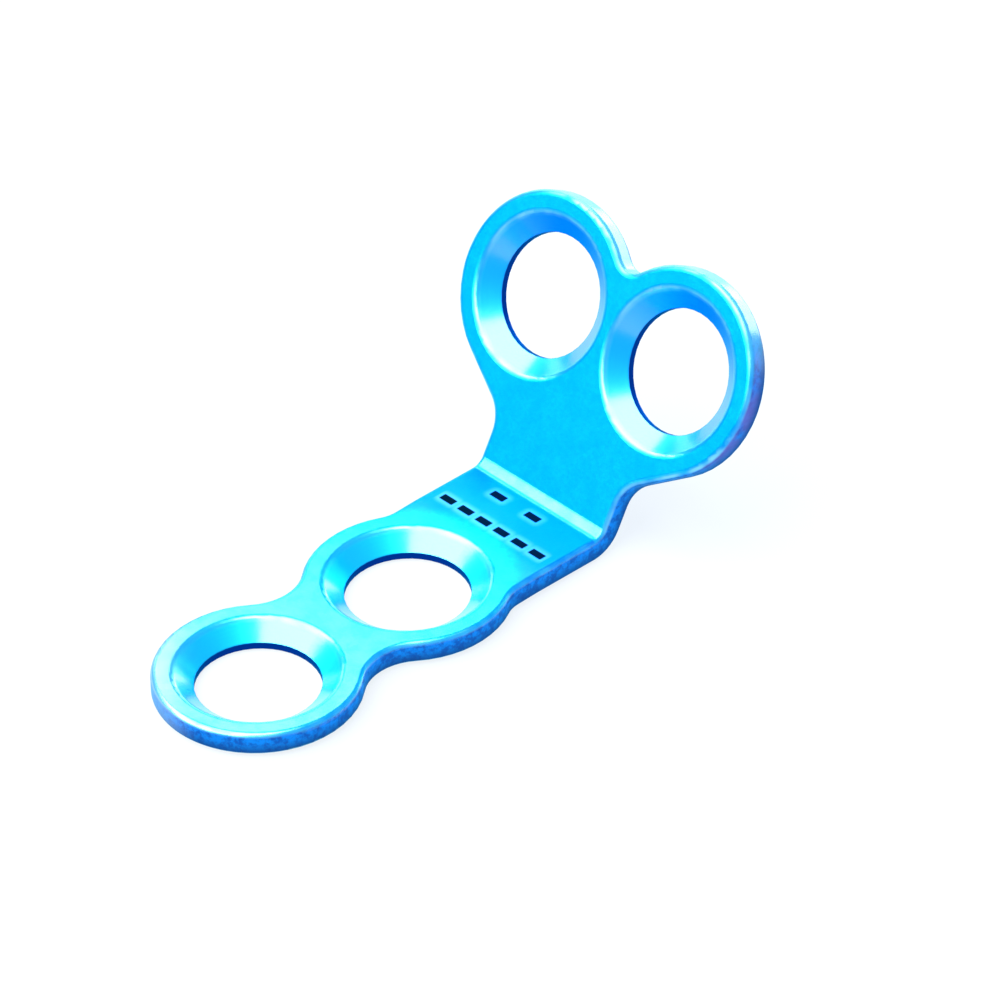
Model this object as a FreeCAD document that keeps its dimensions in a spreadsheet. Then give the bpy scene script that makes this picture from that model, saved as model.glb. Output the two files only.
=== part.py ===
"""One-piece bone plate with four countersunk screw holes.

The plate is cut from flat titanium sheet as a T of joined rings and is bent twice
across its width. Two holes lie along the stem, a flat strip follows them, and the
head leans back beyond the main bend with two holes side by side.

Millimetres, +Z up, bone side down. The origin is the centre of the inner stem hole
on the bone side, and +X runs along the stem towards the head.
"""

import FreeCAD, Part
import math
import os

import Sketcher
from FreeCAD import Placement, Rotation, Vector

NODE = "bone_plate"
POINT_START, POINT_END, POINT_CENTRE = range(1, 4)
X_AXIS = -1
Y_AXIS = X_AXIS - 1
ORIGIN = (-1, 1)
CORNER_COSINE = 0.5

DRIVING_SIZES = [
    ("plate_thickness", 0.6, "sheet thickness"),
    ("screw_hole_diameter", 3.0, "straight part of each hole"),
    ("hole_land", 0.18, "height of that straight part"),
    ("seat_angle", 100, "included angle of the countersink"),
    ("seat_rim_round", 0.2, "radius that breaks the countersink's top edge"),
    ("rim_width", 0.5, "metal between countersink and ring edge"),
    ("stem_hole_pitch", 4.8, "between the two stem holes"),
    ("head_hole_pitch", 4.3, "between the two head holes"),
    ("waist_fillet", 1.3, "hollow between the stem rings"),
    ("shoulder_step", 0.4, "each side, from ring edge in to strip edge"),
    ("shoulder_fillet", 0.85, "hollow where the inner ring meets the strip"),
    ("neck_fillet", 0.9, "hollow where the strip widens to the head"),
    ("neck_flank", 1.29, "straight run from neck hollow to head ring"),
    ("notch_fillet", 0.5, "hollow between the head rings"),
    ("neck_straight", 0.61, "from main bend to neck hollow"),
    ("relief_bend_gap", 0.1, "from inner countersink to relief bend"),
    ("relief_bend_angle", 2, "how far the strip dips"),
    ("relief_bend_radius", 8, "on the bone side"),
    ("strip_length", 1.7, "flat length between the bends"),
    ("head_angle", 60, "lean of the head above the stem"),
    ("bend_inner_radius", 0.35, "inside the main bend"),
    ("edge_round", 0.15, "radius along the whole outer edge"),
    ("cut_margin", 1, "how far cuts run past the metal"),
]

DERIVED_SIZES = [
    ("hole_radius", "screw_hole_diameter / 2"),
    ("seat_depth", "plate_thickness - hole_land"),
    ("seat_radius", "hole_radius + seat_depth * tan(seat_angle / 2)"),
    ("ring_radius", "seat_radius + rim_width"),
    ("strip_half", "ring_radius - shoulder_step"),
    ("strip_width", "2 * strip_half"),
    ("head_half_pitch", "head_hole_pitch / 2"),
    ("outer_bend_radius", "bend_inner_radius + plate_thickness"),
    ("relief_bend_start", "seat_radius + relief_bend_gap"),
    ("stem_reach", "stem_hole_pitch + ring_radius + cut_margin"),
    (
        "bend_axis_x",
        "relief_bend_start + strip_length * cos(relief_bend_angle)"
        " + (relief_bend_radius + outer_bend_radius) * sin(relief_bend_angle)",
    ),
    (
        "bend_axis_z",
        "(relief_bend_radius + outer_bend_radius) * cos(relief_bend_angle)"
        " - relief_bend_radius - strip_length * sin(relief_bend_angle)",
    ),
    (
        "head_hole_reach",
        "neck_straight + sqrt((ring_radius + neck_fillet) ^ 2 + neck_flank ^ 2"
        " - (head_half_pitch - strip_half - neck_fillet) ^ 2)",
    ),
    ("head_reach", "head_hole_reach + ring_radius + cut_margin"),
    ("blank_width", "head_hole_pitch + 2 * ring_radius + 2 * cut_margin"),
    ("cut_half_width", "blank_width / 2 + cut_margin"),
    ("stem_cut_height", "2 * (plate_thickness + cut_margin)"),
    ("head_cut_depth", "outer_bend_radius + cut_margin"),
]


def make_sheet(document):
    """Put every size in a spreadsheet under its own alias."""
    sheet = document.addObject("Spreadsheet::Sheet", "Sizes")
    cells = [(name, str(value), note) for name, value, note in DRIVING_SIZES]
    cells += [(name, "=" + formula, "worked out") for name, formula in DERIVED_SIZES]
    for row, (name, content, note) in enumerate(cells, start=1):
        sheet.set(f"A{row}", name)
        sheet.set(f"B{row}", content)
        sheet.set(f"C{row}", note)
        sheet.setAlias(f"B{row}", name)
    document.recompute()
    return sheet


def direction(degrees):
    """Unit vector in a sketch, turned from the sketch's own x axis."""
    angle = math.radians(degrees)
    return Vector(math.cos(angle), math.sin(angle), 0)


def mirrored(point):
    return Vector(point.x, -point.y, 0)


class Loop:
    """One closed run of lines and arcs, drawn piece by piece in a sketch."""

    def __init__(self, sketch, start):
        self.sketch = sketch
        self.first_point = start
        self.point = start
        self.pieces = []

    def line(self, end):
        index = self.sketch.addGeometry(Part.LineSegment(self.point, end))
        return self.add(index, POINT_START, POINT_END, end)

    def arc(self, centre, end, clockwise=False):
        radius = (self.point - centre).Length
        circle = Part.Circle(centre, Vector(0, 0, 1), radius)
        start_angle, end_angle = (circle.parameter(point) for point in (self.point, end))
        if clockwise:
            shape = Part.ArcOfCircle(circle, end_angle, start_angle)
            index = self.sketch.addGeometry(shape)
            return self.add(index, POINT_END, POINT_START, end)
        shape = Part.ArcOfCircle(circle, start_angle, end_angle)
        index = self.sketch.addGeometry(shape)
        return self.add(index, POINT_START, POINT_END, end)

    def add(self, index, first, last, end):
        self.pieces.append((index, first, last))
        self.point = end
        return index

    def join(self, corners):
        """Join each piece to the next, sharp at the named corners and smooth elsewhere."""
        for piece, following in zip(self.pieces, self.pieces[1:] + self.pieces[:1]):
            kind = "Coincident" if piece[0] in corners else "Tangent"
            constrain(self.sketch, kind, piece[0], piece[2], following[0], following[1])


def constrain(sketch, kind, *references):
    return sketch.addConstraint(Sketcher.Constraint(kind, *references))


def dimension(sketch, cell, kind, *references, sign=""):
    """Add a dimension that takes its value from a cell of the spreadsheet."""
    value = sketch.Document.Sizes.get(cell)
    if kind == "Angle":
        value = math.radians(value)
    if sign == "-":
        value = -value
    index = sketch.addConstraint(Sketcher.Constraint(kind, *references, value))
    sketch.setExpression(f"Constraints[{index}]", f"{sign}Sizes.{cell}")


def new_sketch(body, name, plane_role):
    sketch = body.newObject("Sketcher::SketchObject", name)
    plane = next(item for item in body.Origin.OriginFeatures if item.Role == plane_role)
    sketch.AttachmentSupport = [(plane, "")]
    sketch.MapMode = "FlatFace"
    return sketch


def bind(feature, **expressions):
    for name, expression in expressions.items():
        feature.setExpression(name.replace("__", "."), expression)


def draw_side_profile(body, size):
    """Constant thickness strip seen from the side, with its two bends."""
    thickness = size("plate_thickness")
    relief_radius = size("relief_bend_radius")
    bend_radius = size("bend_inner_radius")
    dip = size("relief_bend_angle")
    lean = size("head_angle")
    strip_along, strip_up = direction(-dip), direction(90 - dip)
    head_along, head_up = direction(lean), direction(90 + lean)
    up = direction(90)

    stem_end = Vector(-size("stem_reach"), 0, 0)
    relief_start = Vector(size("relief_bend_start"), 0, 0)
    relief_axis = relief_start - up * relief_radius
    strip_start = relief_axis + strip_up * relief_radius
    strip_end = strip_start + strip_along * size("strip_length")
    bend_axis = strip_end + strip_up * size("outer_bend_radius")
    head_start = bend_axis - head_up * size("outer_bend_radius")
    head_end = head_start + head_along * size("head_reach")

    sketch = new_sketch(body, "SideProfile", "XZ_Plane")
    loop = Loop(sketch, stem_end)
    stem_under = loop.line(relief_start)
    relief_under = loop.arc(relief_axis, strip_start, clockwise=True)
    strip_under = loop.line(strip_end)
    bend_under = loop.arc(bend_axis, head_start)
    head_under = loop.line(head_end)
    head_tip = loop.line(head_end + head_up * thickness)
    head_top = loop.line(bend_axis - head_up * bend_radius)
    bend_top = loop.arc(bend_axis, strip_end + strip_up * thickness, clockwise=True)
    strip_top = loop.line(strip_start + strip_up * thickness)
    relief_top = loop.arc(relief_axis, relief_start + up * thickness)
    stem_top = loop.line(stem_end + up * thickness)
    stem_tip = loop.line(stem_end)
    loop.join(corners=(head_under, head_tip, stem_top, stem_tip))

    constrain(sketch, "Horizontal", stem_under)
    constrain(sketch, "PointOnObject", stem_under, POINT_START, X_AXIS)
    constrain(sketch, "Horizontal", stem_top)
    constrain(sketch, "Vertical", stem_tip)
    constrain(sketch, "Coincident", relief_under, POINT_CENTRE, relief_top, POINT_CENTRE)
    constrain(sketch, "Coincident", bend_under, POINT_CENTRE, bend_top, POINT_CENTRE)
    constrain(sketch, "Parallel", strip_under, strip_top)
    constrain(sketch, "Parallel", head_under, head_top)
    constrain(sketch, "Perpendicular", head_under, head_tip)

    dimension(sketch, "stem_reach", "DistanceX", stem_under, POINT_START, *ORIGIN)
    dimension(sketch, "relief_bend_start", "DistanceX", *ORIGIN, stem_under, POINT_END)
    dimension(sketch, "plate_thickness", "Distance", stem_tip)
    dimension(sketch, "relief_bend_radius", "Radius", relief_under)
    dimension(sketch, "relief_bend_angle", "Angle", strip_under, sign="-")
    dimension(sketch, "strip_length", "Distance", strip_under)
    dimension(sketch, "bend_inner_radius", "Radius", bend_top)
    dimension(sketch, "head_angle", "Angle", head_under)
    dimension(sketch, "head_reach", "Distance", head_under)
    return sketch


def draw_frame(loop, near, far, half_width):
    """Close a cut's loop round the metal: out, along, across, back and in."""
    corners = [
        Vector(near, -half_width, 0),
        Vector(far, -half_width, 0),
        Vector(far, half_width, 0),
        Vector(near, half_width, 0),
        loop.first_point,
    ]
    return [loop.line(corner) for corner in corners]


def constrain_frame(sketch, frame, half_width_cell):
    """Square up the five straight sides that draw_frame added."""
    out, along, across, back, home = frame
    for side in (out, across, home):
        constrain(sketch, "Vertical", side)
    for side in (along, back):
        constrain(sketch, "Horizontal", side)
    dimension(sketch, half_width_cell, "DistanceY", along, POINT_START, *ORIGIN)
    dimension(sketch, half_width_cell, "DistanceY", *ORIGIN, back, POINT_START)


def draw_stem_outline(body, size):
    """Plan of the metal to cut away round the stem rings and the strip."""
    ring = size("ring_radius")
    half = size("strip_half")
    shoulder = size("shoulder_fillet")
    waist = size("waist_fillet")
    half_pitch = size("stem_hole_pitch") / 2
    inner_ring = Vector(0, 0, 0)
    outer_ring = Vector(-2 * half_pitch, 0, 0)
    shoulder_y = half + shoulder
    shoulder_x = math.sqrt((ring + shoulder) ** 2 - shoulder_y**2)
    shoulder_axis = Vector(shoulder_x, shoulder_y, 0)
    waist_axis = Vector(-half_pitch, math.sqrt((ring + waist) ** 2 - half_pitch**2), 0)
    strip_corner = Vector(shoulder_x, half, 0)
    shoulder_meets = shoulder_axis * (ring / (ring + shoulder))
    waist_meets_inner = waist_axis * (ring / (ring + waist))
    waist_meets_outer = Vector(-2 * half_pitch - waist_meets_inner.x, waist_meets_inner.y, 0)
    cut_end = Vector(size("bend_axis_x"), half, 0)

    sketch = new_sketch(body, "StemOutline", "XY_Plane")
    loop = Loop(sketch, cut_end)
    left_edge = loop.line(strip_corner)
    left_shoulder = loop.arc(shoulder_axis, shoulder_meets, clockwise=True)
    left_inner = loop.arc(inner_ring, waist_meets_inner)
    left_waist = loop.arc(waist_axis, waist_meets_outer, clockwise=True)
    tip = loop.arc(outer_ring, mirrored(waist_meets_outer))
    right_waist = loop.arc(mirrored(waist_axis), mirrored(waist_meets_inner), clockwise=True)
    right_inner = loop.arc(inner_ring, mirrored(shoulder_meets))
    right_shoulder = loop.arc(mirrored(shoulder_axis), mirrored(strip_corner), clockwise=True)
    right_edge = loop.line(mirrored(cut_end))
    frame = draw_frame(loop, cut_end.x, -size("stem_reach"), size("cut_half_width"))
    loop.join(corners=[right_edge] + frame)

    constrain_frame(sketch, frame, "cut_half_width")
    constrain(sketch, "Horizontal", left_edge)
    constrain(sketch, "Horizontal", right_edge)
    constrain(sketch, "Symmetric", left_edge, POINT_START, right_edge, POINT_END, X_AXIS)
    constrain(sketch, "Coincident", left_inner, POINT_CENTRE, *ORIGIN)
    constrain(sketch, "Coincident", right_inner, POINT_CENTRE, *ORIGIN)
    constrain(sketch, "PointOnObject", tip, POINT_CENTRE, X_AXIS)
    for arc in (right_inner, tip):
        constrain(sketch, "Equal", left_inner, arc)
    constrain(sketch, "Equal", left_waist, right_waist)
    constrain(sketch, "Equal", left_shoulder, right_shoulder)

    dimension(sketch, "ring_radius", "Radius", left_inner)
    dimension(sketch, "waist_fillet", "Radius", left_waist)
    dimension(sketch, "shoulder_fillet", "Radius", left_shoulder)
    dimension(sketch, "stem_hole_pitch", "DistanceX", tip, POINT_CENTRE, *ORIGIN)
    dimension(
        sketch, "strip_width", "DistanceY", right_edge, POINT_END, left_edge, POINT_START
    )
    dimension(sketch, "bend_axis_x", "DistanceX", *ORIGIN, left_edge, POINT_START)
    dimension(sketch, "stem_reach", "DistanceX", frame[1], POINT_END, *ORIGIN)
    return sketch


def draw_head_outline(body, size):
    """Plan of the metal to cut away round the neck and the two head rings."""
    ring = size("ring_radius")
    half = size("strip_half")
    neck = size("neck_fillet")
    notch = size("notch_fillet")
    half_pitch = size("head_half_pitch")
    left_centre = Vector(size("head_hole_reach"), half_pitch, 0)
    neck_axis = Vector(size("neck_straight"), half + neck, 0)
    notch_rise = math.sqrt((ring + notch) ** 2 - half_pitch**2)
    notch_axis = Vector(left_centre.x + notch_rise, 0, 0)
    neck_corner = Vector(neck_axis.x, half, 0)
    neck_offset = neck_axis - left_centre
    flank_turn = math.degrees(math.atan2(size("neck_flank"), ring + neck))
    flank_normal = direction(math.degrees(math.atan2(neck_offset.y, neck_offset.x)) - flank_turn)
    flank_start = neck_axis - flank_normal * neck
    flank_end = left_centre + flank_normal * ring
    notch_meets = left_centre + (notch_axis - left_centre) * (ring / (ring + notch))
    cut_start = Vector(-size("outer_bend_radius"), half, 0)

    sketch = new_sketch(body, "HeadOutline", "XY_Plane")
    sketch.AttachmentOffset = Placement(Vector(), Rotation(Vector(0, -1, 0), size("head_angle")))
    bind(
        sketch,
        AttachmentOffset__Base__x="Sizes.bend_axis_x",
        AttachmentOffset__Base__z="Sizes.bend_axis_z",
        AttachmentOffset__Rotation__Angle="Sizes.head_angle",
    )
    loop = Loop(sketch, cut_start)
    left_edge = loop.line(neck_corner)
    left_neck = loop.arc(neck_axis, flank_start)
    left_flank = loop.line(flank_end)
    left_ring = loop.arc(left_centre, notch_meets, clockwise=True)
    hollow = loop.arc(notch_axis, mirrored(notch_meets))
    right_ring = loop.arc(mirrored(left_centre), mirrored(flank_end), clockwise=True)
    right_flank = loop.line(mirrored(flank_start))
    right_neck = loop.arc(mirrored(neck_axis), mirrored(neck_corner))
    right_edge = loop.line(mirrored(cut_start))
    frame = draw_frame(loop, cut_start.x, size("head_reach"), size("cut_half_width"))
    loop.join(corners=[right_edge] + frame)

    constrain_frame(sketch, frame, "cut_half_width")
    constrain(sketch, "Horizontal", left_edge)
    constrain(sketch, "Horizontal", right_edge)
    constrain(sketch, "Symmetric", left_edge, POINT_START, right_edge, POINT_END, X_AXIS)
    constrain(sketch, "Symmetric", left_ring, POINT_CENTRE, right_ring, POINT_CENTRE, X_AXIS)
    constrain(sketch, "Equal", left_ring, right_ring)
    constrain(sketch, "Equal", left_neck, right_neck)
    constrain(sketch, "Equal", left_flank, right_flank)

    dimension(sketch, "ring_radius", "Radius", left_ring)
    dimension(sketch, "neck_fillet", "Radius", left_neck)
    dimension(sketch, "neck_flank", "Distance", left_flank)
    dimension(sketch, "notch_fillet", "Radius", hollow)
    dimension(
        sketch, "head_hole_pitch", "DistanceY", right_ring, POINT_CENTRE, left_ring, POINT_CENTRE
    )
    dimension(sketch, "head_hole_reach", "DistanceX", *ORIGIN, left_ring, POINT_CENTRE)
    dimension(
        sketch, "strip_width", "DistanceY", right_edge, POINT_END, left_edge, POINT_START
    )
    dimension(sketch, "outer_bend_radius", "DistanceX", left_edge, POINT_START, *ORIGIN)
    dimension(sketch, "head_reach", "DistanceX", *ORIGIN, frame[1], POINT_END)
    return sketch


def cut_outline(body, name, sketch, **depths):
    """Pocket away everything outside an outline."""
    pocket = body.newObject("PartDesign::Pocket", name)
    pocket.Profile = sketch
    bind(pocket, **depths)
    return pocket


def sharp_edges(shape):
    """Names of the edges where two faces meet at a corner, not along a bend."""
    names = []
    for index, edge in enumerate(shape.Edges, start=1):
        middle = edge.valueAt((edge.FirstParameter + edge.LastParameter) / 2)
        normals = []
        for face in shape.ancestorsOfType(edge, Part.Face):
            normals.append(face.normalAt(*face.Surface.parameter(middle)))
        if len(normals) == 2 and abs(normals[0].dot(normals[1])) < CORNER_COSINE:
            names.append(f"Edge{index}")
    return names


def round_outer_edge(body, base):
    fillet = body.newObject("PartDesign::Fillet", "OuterEdgeRound")
    fillet.Base = (base, sharp_edges(base.Shape))
    bind(fillet, Radius="Sizes.edge_round")
    return fillet


def drill_hole(body, size, name, **place):
    """Turn one countersunk hole about its own axis, from the bone side up."""
    radius = size("hole_radius")
    land = size("hole_land")
    top = size("plate_thickness")
    margin = size("cut_margin")
    slope = size("seat_angle") / 2
    rim = size("seat_rim_round")
    setback = rim * math.tan(math.radians((90 - slope) / 2))
    seat_edge = Vector(size("seat_radius"), top, 0)
    rim_start = seat_edge - direction(90 - slope) * setback
    rim_end = seat_edge + Vector(setback, 0, 0)

    sketch = new_sketch(body, name + "Profile", "XZ_Plane")
    bind(sketch, **place)
    loop = Loop(sketch, Vector(0, -margin, 0))
    bottom = loop.line(Vector(radius, -margin, 0))
    wall = loop.line(Vector(radius, land, 0))
    seat = loop.line(rim_start)
    rim_arc = loop.arc(rim_end - Vector(0, rim, 0), rim_end, clockwise=True)
    clearance = loop.line(Vector(rim_end.x, top + margin, 0))
    lid = loop.line(Vector(0, top + margin, 0))
    axis = loop.line(loop.first_point)
    loop.join(corners=(bottom, wall, rim_arc, clearance, lid, axis))

    for side in (bottom, lid):
        constrain(sketch, "Horizontal", side)
    for side in (wall, clearance, axis):
        constrain(sketch, "Vertical", side)
    constrain(sketch, "PointOnObject", bottom, POINT_START, Y_AXIS)
    constrain(sketch, "Vertical", rim_arc, POINT_CENTRE, clearance, POINT_START)
    dimension(sketch, "hole_radius", "DistanceX", *ORIGIN, bottom, POINT_END)
    dimension(sketch, "hole_land", "DistanceY", *ORIGIN, wall, POINT_END)
    dimension(sketch, "cut_margin", "DistanceY", bottom, POINT_START, *ORIGIN)
    dimension(sketch, "plate_thickness", "DistanceY", *ORIGIN, clearance, POINT_START)
    dimension(sketch, "cut_margin", "Distance", clearance)
    dimension(sketch, "seat_rim_round", "Radius", rim_arc)
    slope_index = sketch.addConstraint(
        Sketcher.Constraint("Angle", seat, math.radians(90 - slope))
    )
    sketch.setExpression(f"Constraints[{slope_index}]", "90 - Sizes.seat_angle / 2")

    groove = body.newObject("PartDesign::Groove", name)
    groove.Profile = sketch
    groove.ReferenceAxis = (sketch, ["V_Axis"])
    groove.Angle = 360
    return groove


def head_hole_place(side):
    """Attachment of a head hole's profile, which leans back with the head."""
    reach = "Sizes.head_hole_reach"
    drop = "Sizes.outer_bend_radius"
    lean = "Sizes.head_angle"
    forward = f"{reach} * cos({lean}) + {drop} * sin({lean})"
    upward = f"{reach} * sin({lean}) - {drop} * cos({lean})"
    return {
        "AttachmentOffset__Base__x": f"Sizes.bend_axis_x + {forward}",
        "AttachmentOffset__Base__y": f"Sizes.bend_axis_z + {upward}",
        "AttachmentOffset__Base__z": f"{side} * Sizes.head_half_pitch",
        "AttachmentOffset__Rotation__Angle": lean,
    }


def build_plate(document, size):
    body = document.addObject("PartDesign::Body", "BonePlate")
    body.Label = NODE

    blank = body.newObject("PartDesign::Pad", "BentBlank")
    blank.Profile = draw_side_profile(body, size)
    blank.SideType = "Symmetric"
    bind(blank, Length="Sizes.blank_width")

    stem_outline = draw_stem_outline(body, size)
    stem_cut = cut_outline(body, "StemCut", stem_outline, Length="Sizes.stem_cut_height")
    stem_cut.SideType = "Symmetric"

    head_outline = draw_head_outline(body, size)
    head_cut = cut_outline(body, "HeadCut", head_outline, Length="Sizes.head_cut_depth")
    document.recompute()

    round_outer_edge(body, head_cut)
    drill_hole(body, size, "InnerStemHole")
    drill_hole(body, size, "OuterStemHole", AttachmentOffset__Base__x="-Sizes.stem_hole_pitch")
    drill_hole(body, size, "LeftHeadHole", **head_hole_place(-1))
    last = drill_hole(body, size, "RightHeadHole", **head_hole_place(1))
    body.Tip = last
    return body


def check_document(document):
    """Stop if any feature failed, any sketch is loose, or a cut removed nothing."""
    volume = math.inf
    for item in document.Objects:
        if {"Invalid", "Error"} & set(item.State):
            raise RuntimeError(f"{item.Name} failed: {item.State}")
        if item.TypeId == "Sketcher::SketchObject" and not item.FullyConstrained:
            raise RuntimeError(f"{item.Name} isn't fully constrained")
        if item.TypeId.startswith("PartDesign::") and hasattr(item, "Profile"):
            if item.Shape.Volume >= volume:
                raise RuntimeError(f"{item.Name} removed nothing")
            volume = item.Shape.Volume


def export_part(body):
    shape = body.Shape
    if shape.isNull() or not shape.isValid() or len(shape.Solids) != 1:
        raise RuntimeError(f"{body.Label} isn't one valid solid")
    os.makedirs("parts", exist_ok=True)
    shape.exportStep(f"parts/{body.Label}.step")
    print(f"{body.Label}: {shape.Volume:.3f} mm3 in {len(shape.Faces)} faces")


document = FreeCAD.newDocument("BonePlate")
sizes = make_sheet(document)
plate = build_plate(document, sizes.get)
document.recompute()
check_document(document)
export_part(plate)
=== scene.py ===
"""Studio picture of the anodised bone plate, taken from the photograph's angle."""

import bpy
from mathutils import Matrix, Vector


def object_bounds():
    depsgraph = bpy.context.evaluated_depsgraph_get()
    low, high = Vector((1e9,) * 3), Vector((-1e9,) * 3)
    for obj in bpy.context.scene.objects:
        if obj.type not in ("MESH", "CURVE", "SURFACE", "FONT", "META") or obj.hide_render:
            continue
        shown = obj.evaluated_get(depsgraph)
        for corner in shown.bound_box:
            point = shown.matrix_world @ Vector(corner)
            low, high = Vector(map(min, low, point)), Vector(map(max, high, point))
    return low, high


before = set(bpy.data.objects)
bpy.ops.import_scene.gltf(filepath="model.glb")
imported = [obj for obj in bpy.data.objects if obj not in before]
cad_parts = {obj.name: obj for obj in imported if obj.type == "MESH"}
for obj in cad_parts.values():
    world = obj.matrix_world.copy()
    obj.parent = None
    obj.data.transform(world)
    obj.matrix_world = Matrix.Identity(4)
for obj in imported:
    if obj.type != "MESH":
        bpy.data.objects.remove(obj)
cad_box = [list(corner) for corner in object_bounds()]

import math

import bpy
from mathutils import Matrix, Vector

MM = 0.001

# Camera
CAMERA_AIM = Vector((2.348, -0.729, 2.0)) * MM
CAMERA_DISTANCE = 280.85 * MM
CAMERA_AZIMUTH = -43.195
CAMERA_ELEVATION = 37.536
CAMERA_ROLL = -1.367
CAMERA_CLIP = (0.01, 10)
LENS_MM = 432
SENSOR_MM = 36

# Room and floor
ROOM_BLUE = (0.05, 0.58, 0.98, 1)
FLOOR_GREY = (0.14, 0.14, 0.14, 1)
FLOOR_GLOW = 0.82
FLOOR_RADIUS = 1.5
FLOOR_SIDES = 96

# Softboxes: name, direction, sideways direction, width, height, shift and radiance
LAMP_DISTANCE = 0.6
SOFTBOXES = (
    ("KeyBox", (-0.30, 0.22, 0.93), (1, 0, 0), 1.5, 1.32, (-0.26, 0.08), 5.0),
    ("BackBox", (0.472, 0.574, 0.670), (0.396, -0.807, 0.413), 0.52, 0.245, (0.03, 0), 2.8),
    ("RightBox", (0.98, 0.12, 0.10), (0, 1, 0), 0.7, 0.2, (0, 0), 3.5),
    ("RimBox", (0.661, 0.704, 0.259), (0.729, -0.684, 0), 1.3, 0.32, (0, 0), 1.8),
)

# The plate's holes and bends in its own frame, in millimetres
STEM_PITCH = 4.8
TIP_HOLE = (-4.8, 0, 0.6)
TIP_LEFT = (-0.72, 0.69, 0)
HEAD_HOLE = (7.0076, 2.15, 4.0009)
HEAD_ALONG = (0.5, 0, 0.8660)
HEAD_UP = (-0.8660, 0, 0.5)
BEND_AXIS = (4.1119, 0, 0.8852)
BEND_OUTER = 0.95
SEAM = 0.02
RELIEF_START = 2.25
RELIEF_SLOPE = 0.0349
TURNING_PITCH = 0.08

# Ramps of the masks: distances from a hole's axis, then heights over the bone side
IN_SEAT = (2.05, 2.12)
IN_LAND = (1.50, 1.53)
OFF_RING = (2.3, 2.8)
STRIP_START = (1.0, 1.6)
LAND_TOP = (0.16, 0.20)
SIDE_FOOT, SIDE_TOP = (0.02, 0.10), (0.50, 0.58)
SEAT_FOOT, SEAT_TOP = (0.10, 0.16), (0.57, 0.60)
EDGE_FOOT, EDGE_TOP = (0.48, 0.55), (0.57, 0.60)
MARK_FOOT = (0.50, 0.55)

# Patterns of the oxide: scale, detail, roughness and the ramp that makes the mask
CLOUD = (2.5, 4, 0.6, (0.35, 0.65))
SPECKLE = (9, 4, 0.65, (0.38, 0.66))
MOTTLE = (4.5, 5, 0.7, (0.4, 0.62))
INDIGO_SPOT = (1.3, 2, 0.5, (0.3, 0.6))
# Noise for the pale edges, which are partly wear and partly a painted highlight
WEAR_AND_HIGHLIGHT = (1.8, 1, 0.5, (0.25, 0.7))
GRAIN = (14, 3, 0.6)

# Colours of the oxide and of painted light and shade, and the share to which each layer covers
# what lies under it
FACE_DEEP, FACE_PALE = (0.0, 0.54, 0.96), (0.001, 0.66, 0.98)
SPECKLE_BLUE, SPECKLE_SHARE = (0.0, 0.43, 0.92), 0.6
# Painted shade: the head's and the strip's faces are darker copies of the same face colour
HEAD_SHADE_BLUE, HEAD_SHADE_SHARE = (0.0, 0.35, 0.94), 0.6
STRIP_SHADE_BLUE, STRIP_SHADE_SHARE = (0.0, 0.32, 0.94), 0.9
# The cut side is darker than the face partly for its rougher finish and partly as painted shade;
# its foot colour is painted shade and its upward colour a painted highlight
CUT_PALE, CUT_DEEP = (0.0, 0.26, 0.86), (0.001, 0.11, 0.50)
INDIGO, INDIGO_SHARE = (0.15, 0.13, 0.50), 0.8
CUT_FOOT_SHADE = (0.0, 0.06, 0.26)
CUT_UPWARD_HIGHLIGHT, UPWARD_HIGHLIGHT_SHARE = (0.38, 0.78, 0.98), 0.8
# Painted light and shade: the same turned seat is pale on the stem, deeper in the head and deepest
# where it faces down
SEAT_DOWNWARD_SHADE, SEAT_UPWARD_SHADE = (0.0, 0.26, 0.93), (0.0, 0.46, 0.97)
STEM_SEAT_LIT = (0.0, 0.70, 0.99)
# Pale edges and rims: partly wear, partly a painted highlight
WORN_EDGE_AND_HIGHLIGHT = (0.28, 0.76, 0.99)
FADED_TIP, FADED_SHARE = (0.50, 0.62, 0.95), 0.6
# Painted shade inside the holes' bores
LAND_SHADE_NAVY = (0.0, 0.03, 0.25)
HALO_BLUE, HALO_SHARE = (0.22, 0.66, 0.96), 0.45
BAR_BLACK = (0.003, 0.002, 0.010)

# Gloss of the metal and of its clear coat
EDGE_TINT = (0.18, 0.82, 1.0, 1)
METAL_ROUGHNESS, CUT_ROUGHER = 0.34, 0.12
COAT_ROUGHNESS = 0.18
COAT_IOR = 2.3
TIP_GLOSS, STRIP_GLOSS = 0.66, 0.06
BEND_GLOSS = 0.45
CUT_GLOSS = (0.05, 0.9)
SEAT_GLOSS = (0.0, 0.9)

# Fine relief
BUMP_STRENGTH = 0.15
BUMP_DEPTH = 0.02 * MM
TURNING_DEPTH = 0.08
BAR_DEPTH = 0.5

# Rows of bars on the strip: x, first and last y, number of bars, and the share of a cell they fill
MARK_WIDTH = 0.16
MARK_ROWS = ((3.72, -0.95, 1.35, 2, 0.33), (2.77, -1.8, 1.8, 6, 0.6))
ROW_END = 0.001
BAR_EDGE = (0.01, 0.05)
HALO_EDGE = (0.05, 0.22)


def toward(azimuth, elevation):
    """Unit vector from the object to a viewer at this azimuth and elevation."""
    turn, rise = math.radians(azimuth), math.radians(elevation)
    return Vector(
        (math.sin(turn) * math.cos(rise), -math.cos(turn) * math.cos(rise), math.sin(rise))
    )


def make_camera():
    data = bpy.data.cameras.new("Camera")
    data.lens = LENS_MM
    data.sensor_width = SENSOR_MM
    data.clip_start, data.clip_end = CAMERA_CLIP
    camera = bpy.data.objects.new("Camera", data)
    back = toward(CAMERA_AZIMUTH, CAMERA_ELEVATION)
    level = (-back).to_track_quat("-Z", "Y").to_matrix()
    roll = Matrix.Rotation(math.radians(CAMERA_ROLL), 3, back)
    camera.matrix_world = (roll @ level).to_4x4()
    camera.location = CAMERA_AIM + back * CAMERA_DISTANCE
    bpy.context.scene.collection.objects.link(camera)
    bpy.context.scene.camera = camera


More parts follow.
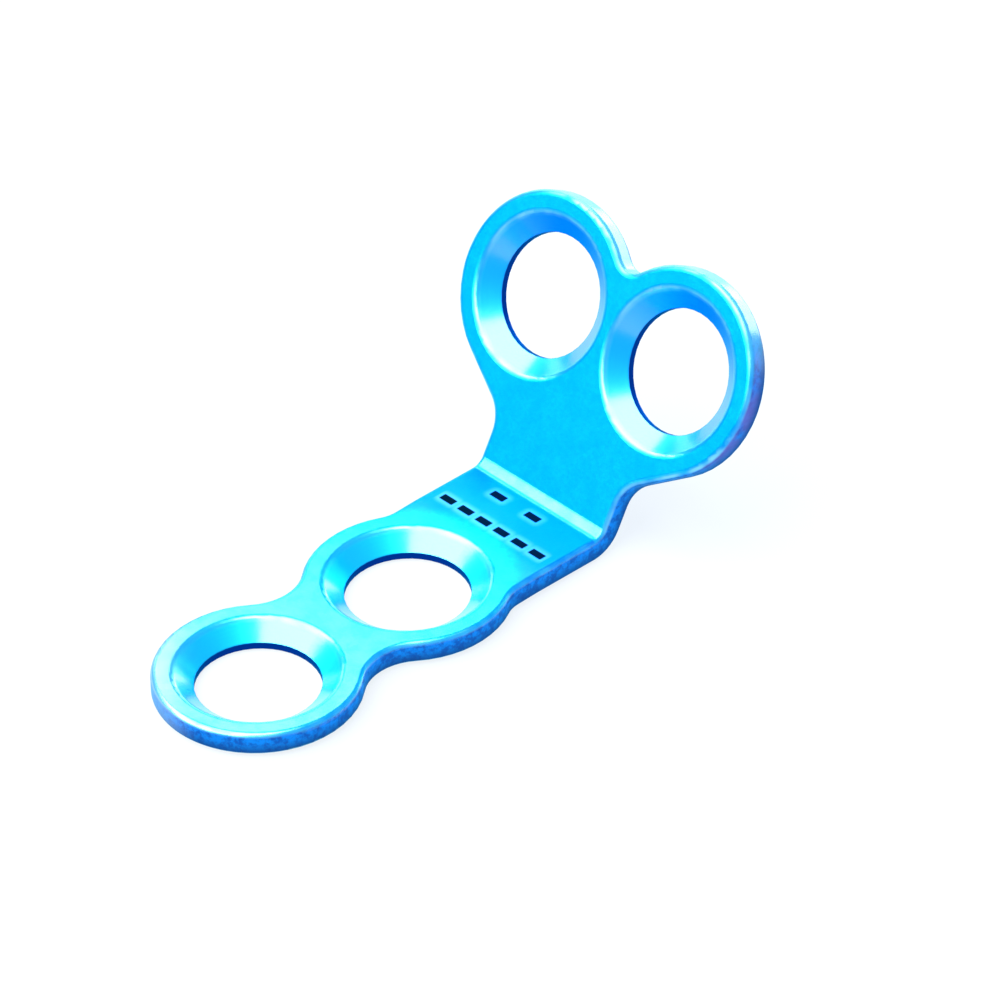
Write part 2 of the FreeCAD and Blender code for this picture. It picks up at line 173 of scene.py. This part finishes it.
def make_softbox(name, facing, across, width, height, shift, radiance):
    """Lamp panel; its sizes and its shift in its own plane are shares of its distance."""
    normal = Vector(facing).normalized()
    side = Vector(across)
    side = (side - side.dot(normal) * normal).normalized()
    rise = normal.cross(side)
    data = bpy.data.lights.new(name, "AREA")
    data.shape = "RECTANGLE"
    data.size, data.size_y = width * LAMP_DISTANCE, height * LAMP_DISTANCE
    data.energy = math.pi * data.size * data.size_y * radiance
    lamp = bpy.data.objects.new(name, data)
    lamp.matrix_world = Matrix((side, rise, normal)).transposed().to_4x4()
    offset = normal + side * shift[0] + rise * shift[1]
    lamp.location = CAMERA_AIM + offset * LAMP_DISTANCE
    lamp.visible_camera = False
    bpy.context.scene.collection.objects.link(lamp)


class Graph:
    """Short calls that build one node tree."""

    def __init__(self, tree):
        self.nodes, self.links = tree.nodes, tree.links

    def node(self, kind, **inputs):
        made = self.nodes.new(kind)
        for name, value in inputs.items():
            self.feed(made.inputs[name.replace("_", " ")], value)
        return made

    def feed(self, socket, value):
        if isinstance(value, bpy.types.NodeSocket):
            self.links.new(value, socket)
        else:
            socket.default_value = value

    def math(self, operation, *values, clamp=False):
        made = self.nodes.new("ShaderNodeMath")
        made.operation = operation
        made.use_clamp = clamp
        for socket, value in zip(made.inputs, values):
            self.feed(socket, value)
        return made.outputs[0]

    def vector(self, operation, *values):
        made = self.nodes.new("ShaderNodeVectorMath")
        made.operation = operation
        for socket, value in zip(made.inputs, values):
            self.feed(socket, value)
        return made.outputs["Value" if operation == "DOT_PRODUCT" else "Vector"]

    def split(self, vector):
        """The three parts of a vector."""
        return self.node("ShaderNodeSeparateXYZ", Vector=vector).outputs

    def step(self, value, low, high, ends=(0, 1)):
        """Smooth ramp of a value, from one end to the other."""
        made = self.nodes.new("ShaderNodeMapRange")
        made.interpolation_type = "SMOOTHSTEP"
        for name, number in zip(("From Min", "From Max", "To Min", "To Max"), (low, high, *ends)):
            made.inputs[name].default_value = number
        self.feed(made.inputs["Value"], value)
        return made.outputs["Result"]

    def fade(self, value, low, high):
        """Mask that is 1 below the low end and 0 above the high one."""
        return self.step(value, low, high, ends=(1, 0))

    def band(self, value, foot, top):
        """Mask that is 1 between two ramps and 0 outside them."""
        return self.product(self.step(value, *foot), self.fade(value, *top))

    def inverse(self, value):
        return self.math("SUBTRACT", 1.0, value, clamp=True)

    def product(self, result, *factors):
        for factor in factors:
            result = self.math("MULTIPLY", result, factor)
        return result

    def scaled(self, value, slope, start):
        return self.math("MULTIPLY_ADD", value, slope, start)

    def mixed(self, *pairs):
        """Sum of each value times its mask."""
        result = self.product(*pairs[0])
        for pair in pairs[1:]:
            result = self.math("ADD", result, self.product(*pair))
        return result

    def hypotenuse(self, first, second):
        return self.math("SQRT", self.mixed((first, first), (second, second)))

    def blend(self, factor, first, second):
        """Colour that goes from the first to the second as the factor rises."""
        made = self.nodes.new("ShaderNodeMix")
        made.data_type = "RGBA"
        self.feed(made.inputs["Factor"], factor)
        for name, value in (("A", first), ("B", second)):
            socket = next(s for s in made.inputs if s.name == name and s.type == "RGBA")
            self.feed(socket, (*value, 1) if isinstance(value, tuple) else value)
        return next(s for s in made.outputs if s.type == "RGBA")

    def noise(self, place, scale, detail, roughness):
        made = self.node("ShaderNodeTexNoise", Vector=place, Scale=scale, Detail=detail)
        made.inputs["Roughness"].default_value = roughness
        return made.outputs["Fac"]

    def pattern(self, place, scale, detail, roughness, ramp):
        """Mask from 0 to 1 made from noise."""
        return self.step(self.noise(place, scale, detail, roughness), *ramp)


def make_world():
    """Pale blue room, which gives the metal its overall colour."""
    world = bpy.data.worlds.new("Room")
    world.use_nodes = True
    background = world.node_tree.nodes["Background"]
    background.inputs["Color"].default_value = ROOM_BLUE
    background.inputs["Strength"].default_value = 1.0
    bpy.context.scene.world = world


def make_floor():
    """White sheet that stays white where the camera or the metal sees it."""
    turns = [2 * math.pi * side / FLOOR_SIDES for side in range(FLOOR_SIDES)]
    height = cad_box[0][2]
    ring = [(FLOOR_RADIUS * math.cos(a), FLOOR_RADIUS * math.sin(a), height) for a in turns]
    mesh = bpy.data.meshes.new("Floor")
    mesh.from_pydata(ring, [], [list(range(FLOOR_SIDES))])
    floor = bpy.data.objects.new("Floor", mesh)
    bpy.context.scene.collection.objects.link(floor)
    material = bpy.data.materials.new("floor_white")
    material.use_nodes = True
    graph = Graph(material.node_tree)
    graph.nodes.clear()
    path = graph.node("ShaderNodeLightPath")
    seen = graph.math("ADD", path.outputs["Is Camera Ray"], path.outputs["Is Glossy Ray"])
    seen = graph.math("ADD", seen, path.outputs["Is Transmission Ray"], clamp=True)
    glow = graph.node("ShaderNodeEmission", Strength=graph.product(seen, FLOOR_GLOW))
    sheet = graph.node("ShaderNodeBsdfDiffuse", Color=FLOOR_GREY)
    both = graph.nodes.new("ShaderNodeAddShader")
    graph.links.new(sheet.outputs[0], both.inputs[0])
    graph.links.new(glow.outputs[0], both.inputs[1])
    graph.node("ShaderNodeOutputMaterial", Surface=both.outputs[0])
    mesh.materials.append(material)


def find_regions(graph):
    """Masks from 0 to 1 and lengths in millimetres that say where a point of the plate lies."""
    metres = graph.node("ShaderNodeTexCoord").outputs["Object"]
    place = graph.vector("MULTIPLY", metres, (1 / MM, 1 / MM, 1 / MM))
    normal = graph.node("ShaderNodeNewGeometry").outputs["Normal"]
    x, y, z = graph.split(place)
    _, normal_y, normal_z = graph.split(normal)

    # Which of the stem, the bend and the head the point is on
    from_axis = graph.vector("SUBTRACT", place, BEND_AXIS)
    along_head = graph.vector("DOT_PRODUCT", from_axis, HEAD_ALONG)
    on_head = graph.step(along_head, -SEAM, SEAM)
    on_stem = graph.fade(x, BEND_AXIS[0] - SEAM, BEND_AXIS[0] + SEAM)
    on_bend = graph.inverse(graph.math("ADD", on_head, on_stem))

    # Distance from the axis of the nearest hole; the head's two holes are folded into one
    past_middle = graph.math("ABSOLUTE", graph.math("ADD", x, STEM_PITCH / 2))
    stem_radius = graph.hypotenuse(graph.math("SUBTRACT", past_middle, STEM_PITCH / 2), y)
    folded = graph.node("ShaderNodeCombineXYZ", X=x, Y=graph.math("ABSOLUTE", y), Z=z).outputs[0]
    from_hole = graph.vector("SUBTRACT", folded, HEAD_HOLE)
    head_along = graph.vector("DOT_PRODUCT", from_hole, HEAD_ALONG)
    _, across_hole, _ = graph.split(from_hole)
    head_radius = graph.hypotenuse(head_along, across_hole)
    radius = graph.math("MINIMUM", stem_radius, head_radius)

    # Height over the bone side, square to the sheet
    past_relief = graph.math("MAXIMUM", graph.math("SUBTRACT", x, RELIEF_START), 0.0)
    stem_height = graph.math("ADD", z, graph.product(past_relief, RELIEF_SLOPE))
    head_height = graph.vector("DOT_PRODUCT", from_hole, HEAD_UP)
    axis_x, _, axis_z = graph.split(from_axis)
    bend_height = graph.math("SUBTRACT", BEND_OUTER, graph.hypotenuse(axis_x, axis_z))
    height = graph.mixed((on_stem, stem_height), (on_head, head_height), (on_bend, bend_height))

    off_ring = graph.step(stem_radius, *OFF_RING)
    in_seat = graph.fade(radius, *IN_SEAT)
    in_land = graph.fade(radius, *IN_LAND)
    return {
        "place": place,
        "x": x,
        "y": y,
        "z": z,
        "radius": radius,
        "height": height,
        "flank": graph.product(normal_y, -1.0),
        "rise": normal_z,
        "on_head": on_head,
        "on_bend": on_bend,
        "strip": graph.product(on_stem, off_ring, graph.step(x, *STRIP_START)),
        "side": graph.band(height, SIDE_FOOT, SIDE_TOP),
        "seat": graph.product(in_seat, graph.band(height, SEAT_FOOT, SEAT_TOP)),
        "land": graph.product(in_land, graph.fade(height, *LAND_TOP)),
        "edge": graph.band(height, EDGE_FOOT, EDGE_TOP),
    }


def draw_marks(graph, part):
    """Two rows of plain laser bars across the strip, and the pale halo round them."""
    bars, halos = [], []
    for x, first, last, count, share in MARK_ROWS:
        length = (last - first) / count
        away_x = graph.math("ABSOLUTE", graph.math("SUBTRACT", part["x"], x))
        turn = graph.math("DIVIDE", graph.math("SUBTRACT", part["y"], first), length)
        cell = graph.math("ABSOLUTE", graph.math("SUBTRACT", graph.math("FRACT", turn), 0.5))
        inside = graph.band(turn, (0.0, ROW_END), (count - ROW_END, count))
        past_x = graph.math("MAXIMUM", graph.math("SUBTRACT", away_x, MARK_WIDTH / 2), 0.0)
        past_y = graph.math("SUBTRACT", graph.product(cell, length), length * share / 2)
        gap = graph.hypotenuse(past_x, graph.math("MAXIMUM", past_y, 0.0))
        bars.append(graph.product(inside, graph.fade(gap, *BAR_EDGE)))
        halos.append(graph.product(inside, graph.fade(gap, *HALO_EDGE)))
    top = graph.step(part["height"], *MARK_FOOT)
    return [graph.product(top, graph.math("MAXIMUM", *pair)) for pair in (bars, halos)]


def face_colour(graph, part, cloud):
    """Cloudy, finely speckled face, with painted shade that makes it deeper on the head and on the
    strip.
    """
    speckle = graph.product(graph.pattern(part["place"], *SPECKLE), SPECKLE_SHARE)
    colour = graph.blend(cloud, FACE_DEEP, FACE_PALE)
    colour = graph.blend(speckle, colour, SPECKLE_BLUE)
    # Painted shade that makes the head and the strip deeper than the stem's face
    colour = graph.blend(graph.product(part["on_head"], HEAD_SHADE_SHARE), colour, HEAD_SHADE_BLUE)
    return graph.blend(graph.product(part["strip"], STRIP_SHADE_SHARE), colour, STRIP_SHADE_BLUE)


def cut_colour(graph, part):
    """Mottled cut side, darker than the face partly for its rougher finish and partly as painted
    shade, with painted shade at its foot and a painted highlight where it turns up, indigo on the
    head.
    """
    indigo = graph.product(
        graph.pattern(part["place"], *INDIGO_SPOT),
        graph.step(part["z"], 1.4, 3.4),
        graph.step(part["flank"], 0.3, 0.9),
        INDIGO_SHARE,
    )
    # Painted highlight where the side turns up
    painted_lit_upward = graph.product(graph.step(part["rise"], 0.3, 0.8), UPWARD_HIGHLIGHT_SHARE)
    colour = graph.blend(graph.pattern(part["place"], *MOTTLE), CUT_PALE, CUT_DEEP)
    colour = graph.blend(indigo, colour, INDIGO)
    # Painted shade at the foot of the side, near the floor
    colour = graph.blend(graph.fade(part["height"], 0.02, 0.42), colour, CUT_FOOT_SHADE)
    return graph.blend(painted_lit_upward, colour, CUT_UPWARD_HIGHLIGHT)


def seat_colour(graph, part):
    """Turned seats, with a painted highlight that makes them pale on the stem and painted shade
    that makes them deeper in the head, deepest where they face down.
    """
    painted_lit_upward = graph.step(part["rise"], -0.3, 0.35)
    head_seat_shade = graph.blend(painted_lit_upward, SEAT_DOWNWARD_SHADE, SEAT_UPWARD_SHADE)
    return graph.blend(part["on_head"], STEM_SEAT_LIT, head_seat_shade)


def whole_colour(graph, part, cloud, bars, halos):
    """Every layer of colour, from the bare oxide up to the marks."""
    # Pale top edges and seat rims, partly wear and partly a painted highlight
    worn_and_highlight = graph.product(
        graph.pattern(part["place"], *WEAR_AND_HIGHLIGHT),
        part["edge"],
        graph.step(part["radius"], 1.9, 2.3, ends=(0.3, 0.75)),
    )
    from_tip = graph.vector("SUBTRACT", part["place"], TIP_HOLE)
    past_tip = graph.vector("DOT_PRODUCT", from_tip, TIP_LEFT)
    faded = graph.product(graph.step(past_tip, 1.3, 2.6), FADED_SHARE)

    colour = graph.blend(part["side"], face_colour(graph, part, cloud), cut_colour(graph, part))
    colour = graph.blend(part["seat"], colour, seat_colour(graph, part))
    colour = graph.blend(worn_and_highlight, colour, WORN_EDGE_AND_HIGHLIGHT)
    colour = graph.blend(faded, colour, FADED_TIP)
    # Painted shade on the bore below each seat
    colour = graph.blend(part["land"], colour, LAND_SHADE_NAVY)
    colour = graph.blend(graph.product(halos, HALO_SHARE), colour, HALO_BLUE)
    return graph.blend(bars, colour, BAR_BLACK)


def coat_weight(graph, part, cloud, bars):
    """Clear coat: strongest at the tip, on the bend, on edges that turn up and in the seats."""
    face = graph.step(part["x"], -7.0, 2.8, ends=(TIP_GLOSS, STRIP_GLOSS))
    face = graph.math("ADD", face, graph.product(part["on_bend"], BEND_GLOSS))
    face = graph.product(face, graph.inverse(bars), graph.scaled(cloud, 0.4, 0.8))
    side = graph.step(part["rise"], 0.15, 0.7, ends=CUT_GLOSS)
    seat = graph.step(part["rise"], -0.2, 0.6, ends=SEAT_GLOSS)
    off_seat = graph.inverse(part["seat"])
    weight = graph.mixed(
        (graph.product(graph.inverse(part["side"]), off_seat), face),
        (graph.product(part["side"], off_seat), side),
        (part["seat"], seat),
    )
    return graph.product(weight, graph.inverse(part["land"]))


def fine_relief(graph, part, bars):
    """Normal with the grain of the blasted faces, the turning marks of the seats and the bars."""
    grain = graph.noise(part["place"], *GRAIN)
    grain = graph.product(grain, graph.scaled(part["seat"], -0.6, 1.0))
    rings = graph.math("SINE", graph.product(part["radius"], 2 * math.pi / TURNING_PITCH))
    relief = graph.math("ADD", grain, graph.product(rings, part["seat"], TURNING_DEPTH))
    relief = graph.math("SUBTRACT", relief, graph.product(bars, BAR_DEPTH))
    bump = graph.node("ShaderNodeBump", Height=relief, Strength=BUMP_STRENGTH, Distance=BUMP_DEPTH)
    return bump.outputs["Normal"]


def make_titanium():
    """Anodised blue titanium: satin faces, turned seats, edges pale from wear and painted
    highlight, and rough cut sides, with painted light and shade in their colours.
    """
    material = bpy.data.materials.new("anodised_titanium_blue")
    material.use_nodes = True
    graph = Graph(material.node_tree)
    sockets = graph.nodes["Principled BSDF"].inputs
    part = find_regions(graph)
    cloud = graph.pattern(part["place"], *CLOUD)
    bars, halos = draw_marks(graph, part)

    sockets["Metallic"].default_value = 1.0
    sockets["Specular Tint"].default_value = EDGE_TINT
    sockets["Coat Roughness"].default_value = COAT_ROUGHNESS
    sockets["Coat IOR"].default_value = COAT_IOR
    graph.feed(sockets["Base Color"], whole_colour(graph, part, cloud, bars, halos))
    graph.feed(sockets["Roughness"], graph.scaled(part["side"], CUT_ROUGHER, METAL_ROUGHNESS))
    graph.feed(sockets["Coat Weight"], coat_weight(graph, part, cloud, bars))
    graph.feed(sockets["Normal"], fine_relief(graph, part, bars))
    return material


make_camera()
make_world()
make_floor()
for softbox in SOFTBOXES:
    make_softbox(*softbox)

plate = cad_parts["bone_plate"]
plate.data.materials[0] = make_titanium()

bpy.context.scene.view_settings.view_transform = "Standard"
